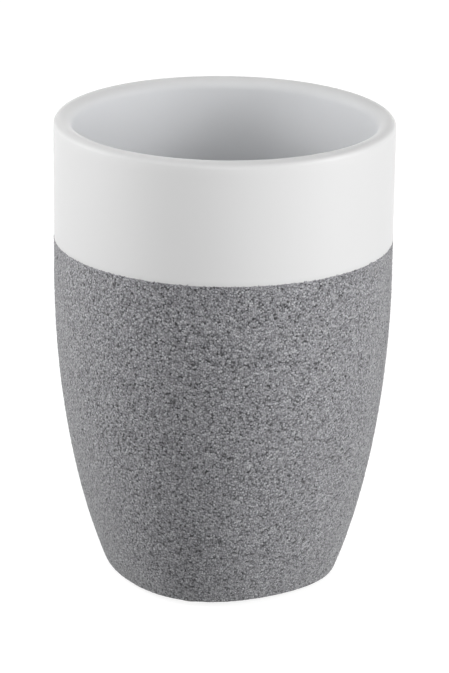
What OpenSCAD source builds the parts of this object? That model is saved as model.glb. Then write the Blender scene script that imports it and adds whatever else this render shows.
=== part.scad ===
// Bathroom tumbler: a white glazed ceramic cup with a rough stone coat round its lower three
// quarters. It stands on a soft square base and grows round towards the rim.
// The origin is the middle of its footprint, on the surface that it stands on.

/* [Cup] */
// Height of the ceramic cup, without the pads under it
cup_h = 109; // [95:1:140]
// Outer diameter of the ceramic from its belly up to the rim, under the band's glaze
belly_d = 77.8; // [70:0.2:90]
// Height of the belly above the ceramic's base
belly_h = 72; // [60:1:85]
// How far the thick glaze of the white band stands out from the ceramic under the coat
band_step = 0.25; // [0.1:0.05:0.35]
// Thickness of the wall, which the inside follows all the way down
wall_t = 4; // [3:0.1:6]
// Thickness of the floor above the flat of the foot
floor_t = 5; // [4:0.1:9]
// Rounding of the lip's outer edge; the inner edge takes the rest of the wall
lip_outer_r = 1.6; // [0.8:0.1:2.2]
// Rounding between the floor and the wall inside
floor_fillet_r = 7; // [3:0.5:12]

/* [Base] */
// Width of the ceramic's base between the middles of two opposite sides
base_flat_w = 51.8; // [44:0.2:60]
// Width of the ceramic's base from corner to corner
base_corner_w = 54.6; // [52:0.2:62]
// Height at which the soft square has become a full circle
round_h = 78; // [50:1:94]
// Angle at which the side leans outwards at the base
base_lean = 22.5; // [10:0.5:30]
// How far up the side the lean of the base carries
lean_reach = 14.7; // [8:0.1:20]
// How far down from the belly the side stays upright
upright_reach = 33; // [20:0.5:40]
// Rounding of the bottom edge
base_edge_r = 1.2; // [0.8:0.1:2]

/* [Foot] */
// Width of the flat foot that runs round under the base
foot_w = 9; // [6:0.2:12]
// Depth of the hollow inside the foot
recess_depth = 0.8; // [0.4:0.1:1.5]

/* [Stone coat] */
// Height of the coat's upper edge above the ceramic's base
coat_h = 80.6; // [70:0.2:90]
// Thickness of the coat to the tips of its grains
coat_t = 0.4; // [0.3:0.1:0.8]
// Bevel of the coat's upper edge
coat_bevel = 0.15; // [0.05:0.05:0.25]
// Bond between the ceramic and the coat
bond_gap = 0.02; // [0.01:0.01:0.05]

/* [Foot pads] */
// Diameter of a pad
pad_d = 8; // [5:0.5:9]
// Thickness of a pad, which lifts the ceramic off the surface
pad_t = 1; // [0.6:0.1:2]
// Bevel of a pad's lower edge
pad_bevel = 0.25; // [0.1:0.05:0.4]
// Distance from a pad to the edge of the flat foot at its corner
pad_margin = 0.8; // [0.5:0.1:2]

/* [Hidden] */

// Sides of each ring that the walls are lofted through, a whole number of quarters
ring_sides = 60;
// Rings up the coated side, up the white band, down the inside and round each rounding
coated_rings = 16;
band_rings = 5;
inside_rings = 18;
round_rings = 4;
// Steps along the side curve, and the rise over which its lean is measured
curve_steps = 40;
lean_rise = 0.5;
// Angle below the side at which the coat ends, round the bottom edge
coat_end_angle = 45;
// Sides of a pad's rim
pad_sides = 64;

glaze_colour = [0.93, 0.93, 0.925];
stone_colour = [0.56, 0.56, 0.57];
pad_colour = [0.85, 0.85, 0.83];

belly_r = belly_d / 2;
lip_inner_r = wall_t + band_step - lip_outer_r;
// The base's outline swings evenly between its sides and its corners
base_mean_r = (base_corner_w + base_flat_w) / 4;
base_swing = (base_corner_w - base_flat_w) / 4;

// Side curve of the ceramic as radius and height: from the base it leans out and straightens
// up to the belly, and from there it goes on upright to the rim
side_from = [base_mean_r, 0];
side_pull_up = side_from + lean_reach * [sin(base_lean), cos(base_lean)];
side_to = [belly_r, belly_h];
side_pull_down = side_to - [0, upright_reach];

function blend_curve(a, b, c, d, t) =
    a * pow(1 - t, 3) + 3 * b * t * pow(1 - t, 2) + 3 * c * t * t * (1 - t) + d * pow(t, 3);

leaning_side = [for (i = [0 : curve_steps])
    blend_curve(side_from, side_pull_up, side_pull_down, side_to, i / curve_steps)];
side_table = [for (p = concat(leaning_side, [[belly_r, cup_h]])) [p.y, p.x]];

// Radius of the ceramic's outside at height z, the lean of its side there, and the swing of
// its outline between side and corner
function side_r(z) = lookup(z, side_table);
function lean(z) = atan((side_r(z + lean_rise) - side_r(z)) / lean_rise);
function swing(z) = base_swing * pow(max(0, 1 - z / round_h), 2);

// One ring of points at height z, whose sides face along X and Y
function ring(r, swing_r, z) = [for (i = [0 : ring_sides - 1])
    let (a = 360 * i / ring_sides, reach = r - swing_r * cos(4 * a))
    [reach * cos(a), reach * sin(a), z]];

// A ring that follows the ceramic's side at height z, set out square to it by a distance
function side_ring(z, out) =
    ring(side_r(z) + out * cos(lean(z)), swing(z), z - out * sin(lean(z)));

// The ends of a number of equal steps from one height or angle to another
function steps(from, to, count) = [for (i = [1 : count]) from + (to - from) * i / count];

// The bottom edge is rounded until it meets the leaning side
edge_lean = lean(0);
edge_top_h = base_edge_r * (1 - sin(edge_lean));
edge_middle_r = side_r(edge_top_h) - base_edge_r * cos(edge_lean);

// A ring round the bottom edge, at an angle below the side and set out by a distance
function edge_ring(angle, out) = ring(
    edge_middle_r + (base_edge_r + out) * cos(angle), swing(0),
    base_edge_r - (base_edge_r + out) * sin(angle));

coated_heights = steps(edge_top_h, coat_h, coated_rings);

// Rings of the cup, from the hollow of the foot out, up the outside, over the lip and down
// the inside to the floor
recess_r = edge_middle_r - foot_w;
foot_ring_set = [
    ring(recess_r - recess_depth, swing(0), recess_depth),
    ring(recess_r, swing(0), 0)];
edge_ring_set = [for (a = concat([90], steps(90, edge_lean, round_rings))) edge_ring(a, 0)];
// The white band steps out just above the coat's upper edge
band_bottom_h = coat_h + bond_gap;
outside_ring_set = concat(
    [for (z = concat(coated_heights, [band_bottom_h])) side_ring(z, 0)],
    [for (z = concat([band_bottom_h], steps(band_bottom_h, cup_h - lip_outer_r, band_rings)))
        side_ring(z, band_step)]);

lip_middle_r = belly_r + band_step - lip_outer_r;
lip_ring_set = concat(
    [for (a = steps(0, 90, round_rings))
        ring(lip_middle_r + lip_outer_r * cos(a), 0, cup_h - lip_outer_r * (1 - sin(a)))],
    [for (a = steps(90, 0, round_rings + 1))
        ring(lip_middle_r - lip_inner_r * cos(a), 0, cup_h - lip_inner_r * (1 - sin(a)))]);

fillet_lean = lean(floor_t);
fillet_top_h = floor_t + floor_fillet_r * (1 - sin(fillet_lean)) - wall_t * sin(fillet_lean);
fillet_middle_r = side_r(fillet_top_h) - (wall_t + floor_fillet_r) * cos(fillet_lean);
inside_ring_set = [for (z = steps(cup_h - lip_inner_r, fillet_top_h, inside_rings))
    side_ring(z, -wall_t)];
floor_ring_set = [for (a = steps(fillet_lean, 90, round_rings))
    ring(fillet_middle_r + floor_fillet_r * cos(a), swing(fillet_top_h),
        floor_t + floor_fillet_r * (1 - sin(a)))];

cup_ring_set = concat(foot_ring_set, edge_ring_set, outside_ring_set, lip_ring_set,
    inside_ring_set, floor_ring_set);

// Rings of the coat, up its face, over its bevelled top and back down beside the ceramic
coat_edge_angles = concat([coat_end_angle],
    steps(coat_end_angle, edge_lean, round_rings));
coat_face_ring_set = concat(
    [for (a = coat_edge_angles) edge_ring(a, coat_t)],
    [for (z = steps(edge_top_h, coat_h - coat_bevel, coated_rings)) side_ring(z, coat_t)],
    [side_ring(coat_h, coat_t - coat_bevel)]);
coat_back_angles = [for (i = [len(coat_edge_angles) - 1 : -1 : 0]) coat_edge_angles[i]];
coat_back_ring_set = concat(
    [for (i = [coated_rings - 1 : -1 : 0]) side_ring(coated_heights[i], bond_gap)],
    [for (a = coat_back_angles) edge_ring(a, bond_gap)]);

// The pads sit on the flat of the foot, one towards each corner
pad_reach = edge_middle_r + base_swing - pad_margin - pad_d / 2;

// Skin through a row of rings, closed by a flat at both ends or by joining the last ring to
// the first
module loft(rings, joined = false) {
    count = len(rings);
    strips = joined ? count : count - 1;
    skin = [for (j = [0 : strips - 1], i = [0 : ring_sides - 1])
        let (a = j * ring_sides, b = ((j + 1) % count) * ring_sides, k = (i + 1) % ring_sides)
        each [[a + i, b + i, b + k], [a + i, b + k, a + k]]];
    first_flat = [for (i = [0 : ring_sides - 1]) i];
    last_flat = [for (i = [ring_sides - 1 : -1 : 0]) (count - 1) * ring_sides + i];
    polyhedron(
        points = [for (r = rings) each r],
        faces = joined ? skin : concat(skin, [first_flat, last_flat]));
}

module cup() {
    color(glaze_colour)
        translate([0, 0, pad_t])
            loft(cup_ring_set);
}

module stone_coat() {
    color(stone_colour)
        translate([0, 0, pad_t])
            loft(concat(coat_face_ring_set, coat_back_ring_set), joined = true);
}

module pad() {
    pad_r = pad_d / 2;
    rotate_extrude($fn = pad_sides)
        polygon([[0, 0], [pad_r - pad_bevel, 0], [pad_r, pad_bevel], [pad_r, pad_t], [0, pad_t]]);
}

module foot_pads() {
    color(pad_colour)
        for (a = [45 : 90 : 315])
            rotate([0, 0, a])
                translate([pad_reach, 0, 0])
                    pad();
}

cup();
stone_coat();
foot_pads();
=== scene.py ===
import math

import bpy
import bmesh
import numpy as np
from mathutils import Matrix


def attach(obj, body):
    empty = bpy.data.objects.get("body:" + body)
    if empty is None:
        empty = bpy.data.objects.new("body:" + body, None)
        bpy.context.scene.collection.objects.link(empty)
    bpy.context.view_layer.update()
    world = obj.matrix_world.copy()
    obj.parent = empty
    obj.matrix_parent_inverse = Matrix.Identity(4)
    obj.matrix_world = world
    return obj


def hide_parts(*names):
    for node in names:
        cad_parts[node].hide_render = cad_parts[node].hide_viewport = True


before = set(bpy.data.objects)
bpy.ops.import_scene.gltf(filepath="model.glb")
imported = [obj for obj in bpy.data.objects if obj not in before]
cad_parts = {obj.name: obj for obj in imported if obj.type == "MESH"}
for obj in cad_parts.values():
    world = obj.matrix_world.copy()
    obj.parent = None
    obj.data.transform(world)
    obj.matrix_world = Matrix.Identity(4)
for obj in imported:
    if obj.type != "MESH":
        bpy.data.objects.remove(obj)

scene = bpy.context.scene
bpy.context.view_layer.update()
print("stage: frame loaded")

# The ceramic's outside, in millimetres and degrees. The coat follows it too.
form = {
    "height": 109,
    "bellyDiameter": 77.8,     # from the belly up to the rim
    "bellyHeight": 72,
    "coatHeight": 80.6,
    "bondGap": 0.02,           # between the ceramic and the coat
    "bandStep": 0.25,          # above the coat, thick white glaze stands out this far
    "baseAcrossFlats": 51.8,
    "baseAcrossCorners": 54.6,
    "corners": 4,
    "roundAbove": 78,          # the soft square has become a full circle here
    "baseLean": 22.5,
    "leanReach": 14.7,
    "uprightReach": 33,
    "baseEdgeRound": 1.2,
    "leanStep": 0.5,           # the rise over which the side's lean is measured
    "curveSteps": 400,
    "padThickness": 1,         # lifts the ceramic off the surface
    "mergeDistance": 0.001,    # points of a loft that are closer than this become one
}


def metres(millimetres):
    return millimetres / 1000


def linear(hexColour):
    # From an sRGB hex value to linear light
    channels = [int(hexColour[i:i + 2], 16) / 255 for i in (1, 3, 5)]
    return [c / 12.92 if c <= 0.04045 else ((c + 0.055) / 1.055) ** 2.4 for c in channels] + [1]


def feed(tree, node, inputs):
    # An input is a value, a socket, or a node, which gives its first output that is in use
    for name, value in inputs.items():
        if isinstance(value, bpy.types.Node):
            value = next(socket for socket in value.outputs if socket.enabled)
        if isinstance(value, bpy.types.NodeSocket):
            tree.links.new(value, node.inputs[name])
        else:
            node.inputs[name].default_value = value


def addNode(tree, kind, inputs=None, stops=(), **settings):
    node = tree.nodes.new(kind)
    for name, value in settings.items():
        setattr(node, name, value)
    feed(tree, node, inputs or {})
    for i, (position, colour) in enumerate(stops):
        ramp = node.color_ramp.elements
        stop = ramp[i] if i < len(ramp) else ramp.new(position)
        stop.position = position
        stop.color = linear(colour)
    return node


# The side curve, and the rows of rings that the pieces are lofted through

# The base's mean radius, and how far it swings either way between its sides and its corners
baseMean = (form["baseAcrossCorners"] + form["baseAcrossFlats"]) / 4
baseSwing = (form["baseAcrossCorners"] - form["baseAcrossFlats"]) / 4


def sideCurve():
    # Leans out from the base and straightens up to the belly, then goes on upright to the rim
    t = np.linspace(0, 1, form["curveSteps"])[:, None]
    lean = math.radians(form["baseLean"])
    start = np.array([baseMean, 0])
    end = np.array([form["bellyDiameter"] / 2, form["bellyHeight"]])
    pullUp = start + form["leanReach"] * np.array([math.sin(lean), math.cos(lean)])
    pullDown = end - np.array([0, form["uprightReach"]])
    leaning = (start * (1 - t) ** 3 + 3 * pullUp * t * (1 - t) ** 2
               + 3 * pullDown * t ** 2 * (1 - t) + end * t ** 3)
    return np.vstack([leaning, [end[0], form["height"]]]).T


sideRadii, sideHeights = sideCurve()


def sideRadius(z):
    return float(np.interp(z, sideHeights, sideRadii))


def sideLean(z):
    return math.atan((sideRadius(z + form["leanStep"]) - sideRadius(z)) / form["leanStep"])


def swingAt(z):
    return baseSwing * max(0, 1 - z / form["roundAbove"]) ** 2


def row(radius, z, swing=0, facing=0, **shares):
    # One ring: its radius and height, how far it swings, and the angle above level that it faces
    return {"radius": radius, "z": z, "swing": swing, "facing": facing, **shares}


def sideRow(z, out, **shares):
    lean = sideLean(z)
    return row(sideRadius(z) + out * math.cos(lean), z - out * math.sin(lean), swingAt(z),
               -lean, **shares)


edgeLean = sideLean(0)
edgeRound = form["baseEdgeRound"]
edgeTop = edgeRound * (1 - math.sin(edgeLean))
edgeMiddle = sideRadius(edgeTop) - edgeRound * math.cos(edgeLean)


def edgeRow(below, out, **shares):
    # Round the bottom edge, at an angle below the side
    reach = edgeRound + out
    return row(edgeMiddle + reach * math.cos(below), edgeRound - reach * math.sin(below),
               swingAt(0), -below, **shares)


# What share a point of the skin has of grit, of ragged edge, of bare clay and of thin glaze with
# its painted shade
shareNames = ("gritShare", "edgeShare", "bareShare", "thinShare")


def profileMesh(name, rows):
    mesh = bpy.data.meshes.new(name)
    lift = form["padThickness"]
    mesh.from_pydata([(metres(r["radius"]), 0, metres(r["z"] + lift)) for r in rows],
                     [(i, i + 1) for i in range(len(rows) - 1)], [])
    columns = {title: [r.get(title, 0) for r in rows] for title in shareNames}
    columns["swing"] = [metres(r["swing"]) for r in rows]
    for title, values in columns.items():
        mesh.attributes.new(title, "FLOAT", "POINT").data.foreach_set("value", values)
    facing = [(math.cos(r["facing"]), 0, math.sin(r["facing"])) for r in rows]
    mesh.attributes.new("facing", "FLOAT_VECTOR", "POINT").data.foreach_set(
        "vector", np.array(facing, np.float32).ravel())
    return mesh


# Geometry Nodes: one tree lofts the pieces, the other works the grit into the coat

def startTree(name, sockets):
    tree = bpy.data.node_groups.new(name, "GeometryNodeTree")
    for title, kind in sockets.items():
        tree.interface.new_socket(title, in_out="INPUT", socket_type="NodeSocket" + kind)
    tree.interface.new_socket("Geometry", in_out="OUTPUT", socket_type="NodeSocketGeometry")
    return tree, addNode(tree, "NodeGroupInput").outputs


def buildLoftTree():
    # A grid is wrapped round Z, and each of its rows takes its ring from the profile
    gridWidth, halfBare = 1.0, 0.5
    tree, given = startTree("softSquareLoft", {
        "Profile": "Geometry", "Last Ring": "Int", "Sides": "Int", "First Angle": "Float",
        "Last Angle": "Float", "Merge Distance": "Float", "Finish": "Material",
        "Bare Finish": "Material"})
    grid = addNode(tree, "GeometryNodeMeshGrid", {
        "Size X": gridWidth, "Size Y": gridWidth,
        "Vertices X": addNode(tree, "ShaderNodeMath", {0: given["Sides"], 1: 1.0}),
        "Vertices Y": addNode(tree, "ShaderNodeMath", {0: given["Last Ring"], 1: 1.0})})
    cell = addNode(tree, "ShaderNodeSeparateXYZ",
                   {0: addNode(tree, "GeometryNodeInputPosition")}).outputs
    angle = addNode(tree, "ShaderNodeMapRange", {
        "Value": cell["X"], "From Min": -gridWidth / 2, "From Max": gridWidth / 2,
        "To Min": given["First Angle"], "To Max": given["Last Angle"]})
    ring = addNode(tree, "ShaderNodeMapRange", {
        "Value": cell["Y"], "From Min": -gridWidth / 2, "From Max": gridWidth / 2,
        "To Min": 0.0, "To Max": given["Last Ring"]})
    ring = addNode(tree, "FunctionNodeFloatToInt", {0: ring}, rounding_mode="ROUND")

    profile = {}
    for title in ("position", "facing", "swing") + shareNames:
        kind = "FLOAT_VECTOR" if title in ("position", "facing") else "FLOAT"
        value = addNode(tree, "GeometryNodeInputNamedAttribute", {"Name": title}, data_type=kind)
        profile[title] = addNode(tree, "GeometryNodeSampleIndex", {
            "Geometry": given["Profile"], "Value": value, "Index": ring}, data_type=kind)

    # In at the sides' middles, which face along X and Y, and out at the corners
    turned = addNode(tree, "ShaderNodeMath", {0: angle, 1: form["corners"]},
                     operation="MULTIPLY")
    turned = addNode(tree, "ShaderNodeMath", {0: turned}, operation="COSINE")
    swing = addNode(tree, "ShaderNodeMath", {0: profile["swing"], 1: turned},
                    operation="MULTIPLY")
    spot = addNode(tree, "ShaderNodeVectorMath", {
        0: profile["position"], 1: addNode(tree, "ShaderNodeCombineXYZ", {"X": swing})},
        operation="SUBTRACT")
    spot = addNode(tree, "ShaderNodeVectorRotate", {"Vector": spot, "Angle": angle},
                   rotation_type="Z_AXIS")
    outward = addNode(tree, "ShaderNodeVectorRotate", {
        "Vector": profile["facing"], "Angle": angle}, rotation_type="Z_AXIS")

    # OFBake keeps the grid's UV map for the finishes
    skin = grid
    kept = [("OFBake", "FLOAT2", "CORNER", grid.outputs["UV Map"]),
            ("outward", "FLOAT_VECTOR", "POINT", outward)]
    kept += [(title, "FLOAT", "POINT", profile[title]) for title in shareNames]
    for title, kind, domain, value in kept:
        skin = addNode(tree, "GeometryNodeStoreNamedAttribute", {
            "Geometry": skin, "Name": title, "Value": value}, data_type=kind, domain=domain)
    skin = addNode(tree, "GeometryNodeSetPosition", {"Geometry": skin, "Position": spot})
    skin = addNode(tree, "GeometryNodeMergeByDistance", {
        "Geometry": skin, "Distance": given["Merge Distance"]})
    skin = addNode(tree, "GeometryNodeSetShadeSmooth", {"Geometry": skin})
    skin = addNode(tree, "GeometryNodeRealizeInstances", {"Geometry": skin})
    skin = addNode(tree, "GeometryNodeSetMaterial", {
        "Geometry": skin, "Material": given["Finish"]})
    bare = addNode(tree, "GeometryNodeInputNamedAttribute", {"Name": "bareShare"})
    bare = addNode(tree, "ShaderNodeMath", {0: bare, 1: halfBare}, operation="GREATER_THAN")
    skin = addNode(tree, "GeometryNodeSetMaterial", {
        "Geometry": skin, "Selection": bare, "Material": given["Bare Finish"]})
    addNode(tree, "NodeGroupOutput", {"Geometry": skin})
    return tree


def buildGritTree():
    # Sinks the skin between its grains, whose tips stay where the loft put them
    noiseMiddle = 0.5
    tree, given = startTree("stoneGrit", {
        "Skin": "Geometry", "Grain Size": "Float", "Fine Grain Size": "Float",
        "Fine Grain Height": "Float", "Shortest Grain": "Float", "Grain Top": "Float",
        "Grain Foot": "Float", "Relief": "Float", "Deepest": "Float",
        "Lump Size": "Float", "Lump Depth": "Float", "Edge Wander": "Float",
        "Edge Notch": "Float", "Seed": "Float", "Finish": "Material"})
    place = addNode(tree, "GeometryNodeInputPosition")
    place = addNode(tree, "ShaderNodeVectorMath", {0: place, 1: given["Seed"]})
    skin = addNode(tree, "GeometryNodeStoreNamedAttribute", {
        "Geometry": given["Skin"], "Name": "restPlace", "Value": place},
        data_type="FLOAT_VECTOR", domain="POINT")
    kept = {}
    for title, kind in (("restPlace", "FLOAT_VECTOR"), ("outward", "FLOAT_VECTOR"),
                        ("gritShare", "FLOAT"), ("edgeShare", "FLOAT")):
        kept[title] = addNode(tree, "GeometryNodeInputNamedAttribute", {"Name": title},
                              data_type=kind)

    height = 0.0
    for size, tallest in (("Grain Size", 1.0), ("Fine Grain Size", given["Fine Grain Height"])):
        scale = addNode(tree, "ShaderNodeMath", {0: 1.0, 1: given[size]}, operation="DIVIDE")
        grains = addNode(tree, "ShaderNodeTexVoronoi", {
            "Vector": kept["restPlace"], "Scale": scale}).outputs
        dome = addNode(tree, "ShaderNodeMapRange", {
            "Value": grains["Distance"], "From Min": given["Grain Top"],
            "From Max": given["Grain Foot"], "To Min": tallest, "To Max": 0.0},
            interpolation_type="SMOOTHSTEP")
        chance = addNode(tree, "ShaderNodeSeparateXYZ", {0: grains["Color"]}).outputs["Y"]
        tall = addNode(tree, "ShaderNodeMapRange", {
            "Value": chance, "To Min": given["Shortest Grain"], "To Max": 1.0})
        stone = addNode(tree, "ShaderNodeMath", {0: dome, 1: tall}, operation="MULTIPLY")
        height = addNode(tree, "ShaderNodeMath", {0: stone, 1: height}, operation="MAXIMUM")

    scale = addNode(tree, "ShaderNodeMath", {0: 1.0, 1: given["Lump Size"]}, operation="DIVIDE")
    lumps = addNode(tree, "ShaderNodeTexNoise", {"Vector": kept["restPlace"], "Scale": scale})
    lump = addNode(tree, "ShaderNodeMath", {0: lumps, 1: noiseMiddle}, operation="SUBTRACT")
    sink = addNode(tree, "ShaderNodeMapRange", {
        "Value": height, "To Min": given["Relief"], "To Max": 0.0})
    sink = addNode(tree, "ShaderNodeMath", {0: lump, 1: given["Lump Depth"], 2: sink},
                   operation="MULTIPLY_ADD")
    sink = addNode(tree, "ShaderNodeClamp", {"Value": sink, "Max": given["Deepest"]})
    sink = addNode(tree, "ShaderNodeMath", {0: sink, 1: kept["gritShare"]}, operation="MULTIPLY")
    inward = addNode(tree, "ShaderNodeVectorMath", {0: kept["outward"], "Scale": sink},
                     operation="SCALE")
    notch = addNode(tree, "ShaderNodeMapRange", {
        "Value": height, "To Min": given["Edge Notch"], "To Max": 0.0})
    drop = addNode(tree, "ShaderNodeMath", {0: lumps, 1: given["Edge Wander"], 2: notch},
                   operation="MULTIPLY_ADD")
    drop = addNode(tree, "ShaderNodeMath", {0: drop, 1: kept["edgeShare"]}, operation="MULTIPLY")
    drop = addNode(tree, "ShaderNodeCombineXYZ", {"Z": drop})
    inward = addNode(tree, "ShaderNodeVectorMath", {0: inward, 1: drop})
    offset = addNode(tree, "ShaderNodeVectorMath", {0: inward, "Scale": -1.0}, operation="SCALE")
    skin = addNode(tree, "GeometryNodeSetPosition", {"Geometry": skin, "Offset": offset})
    skin = addNode(tree, "GeometryNodeRealizeInstances", {"Geometry": skin})
    skin = addNode(tree, "GeometryNodeSetMaterial", {
        "Geometry": skin, "Material": given["Finish"]})
    addNode(tree, "NodeGroupOutput", {"Geometry": skin})
    return tree


loftTree, gritTree = buildLoftTree(), buildGritTree()


def makePiece(name, rows, steps):
    # The profile goes in, and each tree of the steps works on it in turn
    piece = bpy.data.objects.new(name, profileMesh(name + "Profile", rows))
    scene.collection.objects.link(piece)
    for tree, values in steps:
        modifier = piece.modifiers.new(tree.name, "NODES")
        modifier.node_group = tree
        for item in tree.interface.items_tree:
            if item.in_out == "INPUT" and item.name in values:
                modifier[item.identifier] = values[item.name]
    solid = piece.evaluated_get(bpy.context.evaluated_depsgraph_get())
    mesh = bpy.data.meshes.new_from_object(solid)
    piece.modifiers.clear()
    piece.data = mesh
    mesh.name = name
    return piece


print("stage: trees built")

# Finishes. Their sizes and depths are in millimetres, and their detail is a noise's octaves


def startFinish(name):
    material = bpy.data.materials.new(name)
    material.use_nodes = True
    tree = material.node_tree
    return material, tree, tree.nodes["Principled BSDF"]


glaze = {
    "lipShare": 0.5,               # the share of thin glaze and painted shade on top of the lip
    # by that share: thick on the outside, breaking over the lip, and one poured coat inside; the
    # greys on the lip and inside are painted shade as well as thin glaze
    "tones": ((0.0, "#E2E2E2"), (0.5, "#C6C6C6"), (1.0, "#CFD0D2")),
    "roughness": (0.36, 0.44),
    "thinRougher": 0.22,           # the thin glaze is closer to matt by this much
    "thickSpecular": 0.55,
    "thinSpecular": 0.25,
    "waveSize": 9,                 # from one faint wave of the glaze to the next
    "waveDetail": 2.0,
    "waveRange": (0.3, 0.7),
    "waveDepth": 0.01,
    "pinSize": 0.5,
    "pinDetail": 1.0,
    "pinDepth": 0.0008,
}


def satinGlaze():
    # Satin white glaze on stoneware. Outside it is sprayed thick and fires to an even white with
    # a soft broad sheen and faint waves. Over the lip and inside it is thin and drier, and greyed
    # there with painted shade
    material, tree, shader = startFinish("satinWhiteGlaze")
    spot = addNode(tree, "ShaderNodeTexCoord").outputs["Object"]
    waves = addNode(tree, "ShaderNodeTexNoise", {
        "Vector": spot, "Scale": 1 / metres(glaze["waveSize"]), "Detail": glaze["waveDetail"]})
    pins = addNode(tree, "ShaderNodeTexNoise", {
        "Vector": spot, "Scale": 1 / metres(glaze["pinSize"]), "Detail": glaze["pinDetail"]})
    thin = addNode(tree, "ShaderNodeAttribute", attribute_name="thinShare").outputs["Fac"]
    # Its greys on the lip and inside are painted shade, where less light falls, as well as thin
    # glaze
    colour = addNode(tree, "ShaderNodeValToRGB", {"Fac": thin}, stops=glaze["tones"])
    lowest, highest = glaze["waveRange"]
    smooth, rough = glaze["roughness"]
    sheen = addNode(tree, "ShaderNodeMapRange", {
        "Value": waves, "From Min": lowest, "From Max": highest, "To Min": smooth,
        "To Max": rough})
    rougher = addNode(tree, "ShaderNodeMapRange", {
        "Value": thin, "From Max": glaze["lipShare"], "To Max": glaze["thinRougher"]})
    sheen = addNode(tree, "ShaderNodeMath", {0: sheen, 1: rougher})
    gloss = addNode(tree, "ShaderNodeMapRange", {
        "Value": thin, "From Max": glaze["lipShare"], "To Min": glaze["thickSpecular"],
        "To Max": glaze["thinSpecular"]})
    swell = addNode(tree, "ShaderNodeBump", {
        "Height": waves, "Distance": metres(glaze["waveDepth"])})
    pricks = addNode(tree, "ShaderNodeBump", {
        "Height": pins, "Distance": metres(glaze["pinDepth"]), "Normal": swell})
    feed(tree, shader, {"Base Color": colour, "Roughness": sheen, "Specular IOR Level": gloss,
                        "Normal": pricks})
    return material


bareClay = {
    "tones": ((0.3, "#8E8371"), (0.42, "#C9C0AE"), (0.65, "#D9D2C4")),    # specks, then buff
    "grainSize": 0.7,
    "grainDetail": 4.0,
    "grainDepth": 0.03,
    "roughness": 0.92,
}


def biscuit():
    # Bare fired stoneware under the foot, wiped clean of glaze: dry, pale buff and finely specked
    material, tree, shader = startFinish("bareStonewareFoot")
    spot = addNode(tree, "ShaderNodeTexCoord").outputs["Object"]
    grain = addNode(tree, "ShaderNodeTexNoise", {
        "Vector": spot, "Scale": 1 / metres(bareClay["grainSize"]),
        "Detail": bareClay["grainDetail"]})
    tone = addNode(tree, "ShaderNodeValToRGB", {"Fac": grain}, stops=bareClay["tones"])
    bumps = addNode(tree, "ShaderNodeBump", {
        "Height": grain, "Distance": metres(bareClay["grainDepth"])})
    feed(tree, shader, {"Base Color": tone, "Roughness": bareClay["roughness"],
                        "Normal": bumps})
    return material


grit = {
    "grainSize": 0.4,              # across a common grain, and across the finer ones
    "fineGrainSize": 0.28,
    "fineGrainHeight": 0.7,        # as a share of a common grain's height, as is the shortest
    "shortestGrain": 0.3,
    "grainTop": 0.1,               # from a grain's middle, in grain sizes, to where its top
    "grainFoot": 0.75,             # starts to fall and to where it ends
    "relief": 0.22,
    "deepest": 0.3,
    "lumpSize": 2.2,
    "lumpDepth": 0.1,
    "edgeWander": 0.15,            # the upper edge wanders by this much
    "edgeNotch": 0.5,              # and drops this far between two grains
    "seed": 0.37,
    # each grain has one of these by chance, and most are a middle grey
    "tones": ((0.0, "#262628"), (0.05, "#505052"), (0.14, "#848487"), (0.5, "#9B9B9E"),
              (0.82, "#AEAEB1"), (1.0, "#CACACD")),
    "gapColour": "#A8A8AA",        # multiplies the tones where grains meet
    "gapRange": (0.45, 0.8),       # from a grain's middle, in grain sizes
    "patchSize": 6,                # from one faint darker patch to the next
    "patchDetail": 3.0,
    "patchTint": "#E9E9EB",
    "grainDepth": 0.12,            # bump on the grains, on top of their real relief
    "fineSize": 0.12,
    "fineDetail": 2.0,
    "fineDepth": 0.02,
    "roughness": 0.8,
    "specularLevel": 0.25,
    "sheenWeight": 0.4,
    "sheenRoughness": 0.6,
}


def stoneGrit():
    # Crushed stone bonded in resin: matt, each grain its own grey, dark where they meet
    material, tree, shader = startFinish("stoneGritCoat")
    rest = addNode(tree, "ShaderNodeAttribute", attribute_name="restPlace").outputs["Vector"]
    grains = addNode(tree, "ShaderNodeTexVoronoi", {
        "Vector": rest, "Scale": 1 / metres(grit["grainSize"])}).outputs
    chance = addNode(tree, "ShaderNodeSeparateXYZ", {0: grains["Color"]}).outputs["X"]
    colour = addNode(tree, "ShaderNodeValToRGB", {"Fac": chance}, stops=grit["tones"])
    gapStart, gapEnd = grit["gapRange"]
    gap = addNode(tree, "ShaderNodeMapRange", {
        "Value": grains["Distance"], "From Min": gapStart, "From Max": gapEnd},
        interpolation_type="SMOOTHSTEP")
    patches = addNode(tree, "ShaderNodeTexNoise", {
        "Vector": rest, "Scale": 1 / metres(grit["patchSize"]), "Detail": grit["patchDetail"]})
    # A colour Mix has its two colours at inputs 6 and 7, and its result at output 2
    for share, tint in ((gap, grit["gapColour"]), (patches, grit["patchTint"])):
        colour = addNode(tree, "ShaderNodeMix", {
            "Factor": share, 6: colour, 7: linear(tint)}, data_type="RGBA",
            blend_type="MULTIPLY").outputs[2]
    fine = addNode(tree, "ShaderNodeTexNoise", {
        "Vector": rest, "Scale": 1 / metres(grit["fineSize"]), "Detail": grit["fineDetail"]})
    domed = addNode(tree, "ShaderNodeBump", {
        "Height": grains["Distance"], "Distance": metres(grit["grainDepth"])}, invert=True)
    rough = addNode(tree, "ShaderNodeBump", {
        "Height": fine, "Distance": metres(grit["fineDepth"]), "Normal": domed})
    feed(tree, shader, {
        "Base Color": colour, "Roughness": grit["roughness"],
        "Specular IOR Level": grit["specularLevel"], "Sheen Weight": grit["sheenWeight"],
        "Sheen Roughness": grit["sheenRoughness"], "Normal": rough})
    return material


pad = {
    "tones": ((0.1, "#C8C7C2"), (0.4, "#DAD9D5")),
    "poreSize": 0.35,
    "poreDepth": 0.04,
    "roughness": 0.75,
}


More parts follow.
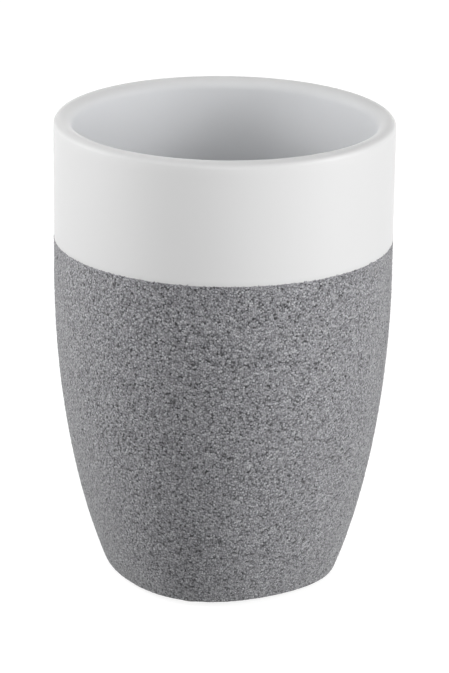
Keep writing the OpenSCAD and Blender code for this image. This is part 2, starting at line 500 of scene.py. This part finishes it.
def softPad():
    # Closed-cell foam pad, die-cut from sheet: matt off-white with tiny pores
    material, tree, shader = startFinish("closedCellFoamPad")
    spot = addNode(tree, "ShaderNodeTexCoord").outputs["Object"]
    pores = addNode(tree, "ShaderNodeTexVoronoi", {
        "Vector": spot, "Scale": 1 / metres(pad["poreSize"])})
    tone = addNode(tree, "ShaderNodeValToRGB", {"Fac": pores}, stops=pad["tones"])
    dents = addNode(tree, "ShaderNodeBump", {
        "Height": pores, "Distance": metres(pad["poreDepth"])})
    feed(tree, shader, {"Base Color": tone, "Roughness": pad["roughness"], "Normal": dents})
    return material


finishes = {"glaze": satinGlaze(), "clay": biscuit(), "grit": stoneGrit(), "pad": softPad()}
print("stage: finishes ready")

# The glazed cup, from the middle of the foot out, up, over the lip and down inside

cup = {
    "wall": 4,
    "floor": 5,
    "lipOuterRound": 1.6,
    "bandEdgeRound": 0.12,     # the band's lower edge, where the glaze pulls back a little
    "thinAbove": 45,           # degrees round the lip by which the thick glaze has run out and the painted shade is full
    "floorRound": 7,
    "footWidth": 9,
    "recessDepth": 0.8,
    "sides": 192,
    "roundRows": 12,           # rings round each rounding
    "lipInnerRows": 16,
    "sideRows": 70,
    "bandEdgeRows": 4,
    "bandRows": 24,
    "insideRows": 70,
    "flatRows": 6,
}


def cupRows():
    rows = []
    down = -math.pi / 2
    swing = swingAt(0)
    footInner = edgeMiddle - cup["footWidth"]
    recessEdge = footInner - cup["recessDepth"]
    for share in np.linspace(0, 1, cup["flatRows"]):
        rows.append(row(recessEdge * share, cup["recessDepth"], swing * share, down,
                        bareShare=1))
    for share in np.linspace(0, 1, cup["flatRows"]):
        rows.append(row(footInner + cup["footWidth"] * share, 0, swing, down, bareShare=1))
    for angle in np.linspace(math.pi / 2, edgeLean, cup["roundRows"])[1:]:
        rows.append(edgeRow(angle, 0))
    top = form["height"]
    bandFrom = form["coatHeight"] + form["bondGap"]
    for z in np.linspace(edgeTop, bandFrom, cup["sideRows"])[1:]:
        rows.append(sideRow(z, 0))
    edge, step = cup["bandEdgeRound"], form["bandStep"]
    for angle in np.linspace(math.pi / 2, 0, cup["bandEdgeRows"]):
        rows.append(sideRow(bandFrom + edge * (1 - math.sin(angle)),
                            step - edge * (1 - math.cos(angle))))
    for z in np.linspace(bandFrom + edge, top - cup["lipOuterRound"], cup["bandRows"])[1:]:
        rows.append(sideRow(z, step))
    middle = form["bellyDiameter"] / 2 + step - cup["lipOuterRound"]
    # The lip's rows take the thin glaze and a grey of painted shade
    onLip = glaze["lipShare"]
    for angle in np.linspace(0, math.pi / 2, cup["roundRows"])[1:]:
        rows.append(row(middle + cup["lipOuterRound"] * math.cos(angle),
                        top - cup["lipOuterRound"] * (1 - math.sin(angle)),
                        thinShare=onLip * min(1, angle / math.radians(cup["thinAbove"]))))
    inner = cup["wall"] + step - cup["lipOuterRound"]
    for angle in np.linspace(math.pi / 2, 0, cup["lipInnerRows"])[1:]:
        rows.append(row(middle - inner * math.cos(angle), top - inner * (1 - math.sin(angle)),
                        thinShare=1 - onLip * math.sin(angle)))
    lean = sideLean(cup["floor"])
    filletTop = (cup["floor"] + cup["floorRound"] * (1 - math.sin(lean))
                 - cup["wall"] * math.sin(lean))
    for z in np.linspace(top - inner, filletTop, cup["insideRows"])[1:]:
        rows.append(sideRow(z, -cup["wall"], thinShare=1))
    filletMiddle = sideRadius(filletTop) - (cup["wall"] + cup["floorRound"]) * math.cos(lean)
    for angle in np.linspace(lean, math.pi / 2, cup["roundRows"])[1:]:
        rows.append(row(filletMiddle + cup["floorRound"] * math.cos(angle),
                        cup["floor"] + cup["floorRound"] * (1 - math.sin(angle)),
                        swingAt(filletTop), thinShare=1))
    for share in np.linspace(1, 0, cup["flatRows"])[1:]:
        rows.append(row(filletMiddle * share, cup["floor"], swingAt(filletTop) * share,
                        thinShare=1))
    return rows


rows = cupRows()
glazedCup = makePiece("glazedCup", rows, [(loftTree, {
    "Last Ring": len(rows) - 1, "Sides": cup["sides"], "First Angle": 0.0,
    "Last Angle": 2 * math.pi,
    "Merge Distance": metres(form["mergeDistance"]), "Finish": finishes["glaze"],
    "Bare Finish": finishes["clay"]})])
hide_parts("cup")
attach(glazedCup, "root")
print("stage: glazed cup,", len(glazedCup.data.polygons), "faces")

# The stone coat, one closed piece for each side of the soft square

coat = {
    "thickness": 0.4,          # to the tips of the grains
    "topBevel": 0.15,
    "overBand": 0.65,          # how far its uppermost grains lap over the band's lower edge
    "endAngle": 45,            # where it ends, round the bottom edge
    "sidesPerPiece": 256,
    "faceRows": 350,
    "backRows": 16,
    "raggedHeight": 1.5,       # of the upper edge, over which its raggedness fades out
    # how much of the grit's relief its lowest rows have, from the first on, and its top row
    "lowGrit": (0.5, 0.75, 1, 1),
    "topGrit": 0.3,
    # each piece, and the angle from X towards Y at which it starts
    "pieces": {"stoneCoatRight": -45, "stoneCoatBack": 45, "stoneCoatLeft": 135,
               "stoneCoatFront": 225},
    "pieceTurn": 90,
}


def coatRows():
    end = math.radians(coat["endAngle"])
    angles = np.linspace(end, edgeLean, len(coat["lowGrit"]))
    backTop, gap = form["coatHeight"], form["bondGap"]
    top = backTop + coat["overBand"]
    faceTop = top - coat["topBevel"]

    def ragged(z):
        return max(0, 1 - (top - z) / coat["raggedHeight"])

    rows = [edgeRow(a, coat["thickness"], gritShare=share)
            for a, share in zip(angles, coat["lowGrit"])]
    for z in np.linspace(edgeTop, faceTop, coat["faceRows"])[1:]:
        rows.append(sideRow(z, coat["thickness"], gritShare=1, edgeShare=ragged(z)))
    rows.append(sideRow(top, coat["thickness"] - coat["topBevel"],
                        gritShare=coat["topGrit"], edgeShare=1))
    for z in np.linspace(backTop, edgeTop, coat["backRows"]):
        rows.append(sideRow(z, gap, edgeShare=ragged(z)))
    rows += [edgeRow(a, gap) for a in angles[::-1][1:]]
    return rows + rows[:1]


def closeEnds(piece):
    # Caps the two open ends of a piece's loop, flat, so that they don't round off its face
    work = bmesh.new()
    work.from_mesh(piece.data)
    openEdges = [e for e in work.edges if e.is_boundary]
    filled = bmesh.ops.holes_fill(work, edges=openEdges, sides=0)["faces"]
    for face in filled:
        face.smooth = False
    bmesh.ops.triangulate(work, faces=filled)
    work.to_mesh(piece.data)
    work.free()


rows = coatRows()
for name, firstAngle in coat["pieces"].items():
    coatPiece = makePiece(name, rows, [
        (loftTree, {"Last Ring": len(rows) - 1, "Sides": coat["sidesPerPiece"],
                    "First Angle": math.radians(firstAngle),
                    "Last Angle": math.radians(firstAngle + coat["pieceTurn"]),
                    "Merge Distance": metres(form["mergeDistance"]),
                    "Finish": finishes["grit"], "Bare Finish": finishes["grit"]}),
        (gritTree, {"Grain Size": metres(grit["grainSize"]),
                    "Fine Grain Size": metres(grit["fineGrainSize"]),
                    "Fine Grain Height": grit["fineGrainHeight"],
                    "Shortest Grain": grit["shortestGrain"], "Grain Top": grit["grainTop"],
                    "Grain Foot": grit["grainFoot"],
                    "Relief": metres(grit["relief"]), "Deepest": metres(grit["deepest"]),
                    "Lump Size": metres(grit["lumpSize"]),
                    "Lump Depth": metres(grit["lumpDepth"]),
                    "Edge Wander": metres(grit["edgeWander"]),
                    "Edge Notch": metres(grit["edgeNotch"]), "Seed": grit["seed"],
                    "Finish": finishes["grit"]})])
    closeEnds(coatPiece)
    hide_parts("stone_coat")
    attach(coatPiece, "root")
    print("stage:", name + ",", len(coatPiece.data.polygons), "faces")

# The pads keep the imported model's shape

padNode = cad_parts["foot_pads"]
padNode.data.materials.clear()
padNode.data.materials.append(finishes["pad"])
print("stage: pads finished")

# The camera, at the photograph's angle, in millimetres and degrees

camera = {
    "azimuth": -28.56,
    "elevation": 18.93,
    "roll": 0.69,
    "distance": 726,
    "aimRight": 0.51,
    "aimHeight": 56.84,
    "lens": 165.93,
    "sensor": 36,
    "clip": (0.01, 20),        # metres
}


def turnedTo(azimuth, elevation):
    # Unit vector from the cup towards a place round it: azimuth 0 is in front, 90 to its right
    a, e = math.radians(azimuth), math.radians(elevation)
    return np.array([math.sin(a) * math.cos(e), -math.cos(a) * math.cos(e), math.sin(e)])


def placeAt(thing, position, back, roll=0):
    # The thing's own Z points back along its view
    right = np.cross([0, 0, 1], back)
    right /= np.linalg.norm(right)
    up = np.cross(back, right)
    r = math.radians(roll)
    axes = np.column_stack([right * math.cos(r) + up * math.sin(r),
                            up * math.cos(r) - right * math.sin(r), back])
    matrix = np.identity(4)
    matrix[:3, :3] = axes
    matrix[:3, 3] = position
    thing.matrix_world = Matrix(matrix.tolist())


lensData = bpy.data.cameras.new("camera")
lensData.lens = camera["lens"]
lensData.sensor_width = camera["sensor"]
lensData.clip_start, lensData.clip_end = camera["clip"]
viewer = bpy.data.objects.new("camera", lensData)
scene.collection.objects.link(viewer)
back = turnedTo(camera["azimuth"], camera["elevation"])
side = turnedTo(camera["azimuth"] + 90, 0)
aim = side * metres(camera["aimRight"]) + np.array([0, 0, metres(camera["aimHeight"])])
placeAt(viewer, aim + back * metres(camera["distance"]), back, camera["roll"])
scene.camera = viewer

# The studio: soft panels round the cup, and a pale floor

studio = {
    "worldLight": 0.1,
    "shownWorldLight": 1.0,    # as it is seen
    "floorRadius": 1.5,        # in metres, so that it ends where the lamps' light does
    "floorSides": 96,
    "floorColour": "#3C3C3C",  # as it lights the cup
    "shownFloorColour": "#8A8A8A",   # as it is seen, with a glow that lifts it to white but
    "floorGlow": 0.86,               # leaves it a shadow
    # azimuth from the camera to its right, elevation, distance, width, height in metres, watts
    "lamps": {
        "rightPanel": (75, 8, 1.4, 0.5, 0.9, 9.3),
        "rightHighPanel": (75, 30, 1.4, 0.6, 0.6, 8.1),
        "leftPanel": (-95, 5, 1.4, 0.6, 0.9, 5.1),
        "leftNearPanel": (-90, 35, 0.4, 0.2, 0.2, 0.94),
        "frontPanel": (0, 5, 1.4, 1.0, 0.8, 10),
        "frontNearPanel": (0, 30, 0.5, 0.35, 0.25, 0.46),
        "backRightPanel": (145, 12, 1.4, 0.8, 0.5, 3.5),
        "backLeftPanel": (-150, 40, 1.4, 0.8, 0.5, 3.5),
        "backPanel": (180, 8, 1.4, 0.8, 0.4, 4.5),
    },
}

for name, (azimuth, elevation, distance, width, height, watts) in studio["lamps"].items():
    lampData = bpy.data.lights.new(name, "AREA")
    lampData.shape = "RECTANGLE"
    lampData.size, lampData.size_y = width, height
    lampData.energy = watts
    lamp = bpy.data.objects.new(name, lampData)
    scene.collection.objects.link(lamp)
    towards = turnedTo(camera["azimuth"] + azimuth, elevation)
    placeAt(lamp, aim + towards * distance, towards)
    lamp.visible_camera = False


def shownRays(tree):
    # 1 for the rays that see the background: the camera's, and those in gloss and glass
    path = addNode(tree, "ShaderNodeLightPath").outputs
    some = addNode(tree, "ShaderNodeMath", {0: path["Is Camera Ray"], 1: path["Is Glossy Ray"]},
                   operation="MAXIMUM")
    return addNode(tree, "ShaderNodeMath", {0: some, 1: path["Is Transmission Ray"]},
                   operation="MAXIMUM")


world = bpy.data.worlds.new("studioWorld")
scene.world = world
world.use_nodes = True
tree = world.node_tree
strength = addNode(tree, "ShaderNodeMapRange", {
    "Value": shownRays(tree), "To Min": studio["worldLight"],
    "To Max": studio["shownWorldLight"]})
feed(tree, tree.nodes["Background"], {"Color": linear("#FFFFFF"), "Strength": strength})

floorMesh = bpy.data.meshes.new("studioFloor")
rim = [turnedTo(360 * i / studio["floorSides"], 0) * studio["floorRadius"]
       for i in range(studio["floorSides"])]
floorMesh.from_pydata(rim, [], [range(len(rim))])
floor = bpy.data.objects.new("studioFloor", floorMesh)
scene.collection.objects.link(floor)
paper = bpy.data.materials.new("whitePaperFloor")
paper.use_nodes = True
tree = paper.node_tree
tree.nodes.remove(tree.nodes["Principled BSDF"])
lit = addNode(tree, "ShaderNodeBsdfDiffuse", {"Color": linear(studio["floorColour"])})
dim = addNode(tree, "ShaderNodeBsdfDiffuse", {"Color": linear(studio["shownFloorColour"])})
glow = addNode(tree, "ShaderNodeEmission", {"Strength": studio["floorGlow"]})
shown = addNode(tree, "ShaderNodeAddShader", {0: dim, 1: glow})
mixed = addNode(tree, "ShaderNodeMixShader", {"Fac": shownRays(tree), 1: lit, 2: shown})
feed(tree, tree.nodes["Material Output"], {"Surface": mixed})
floorMesh.materials.append(paper)

scene.view_settings.view_transform = "Standard"
print("stage: studio ready")
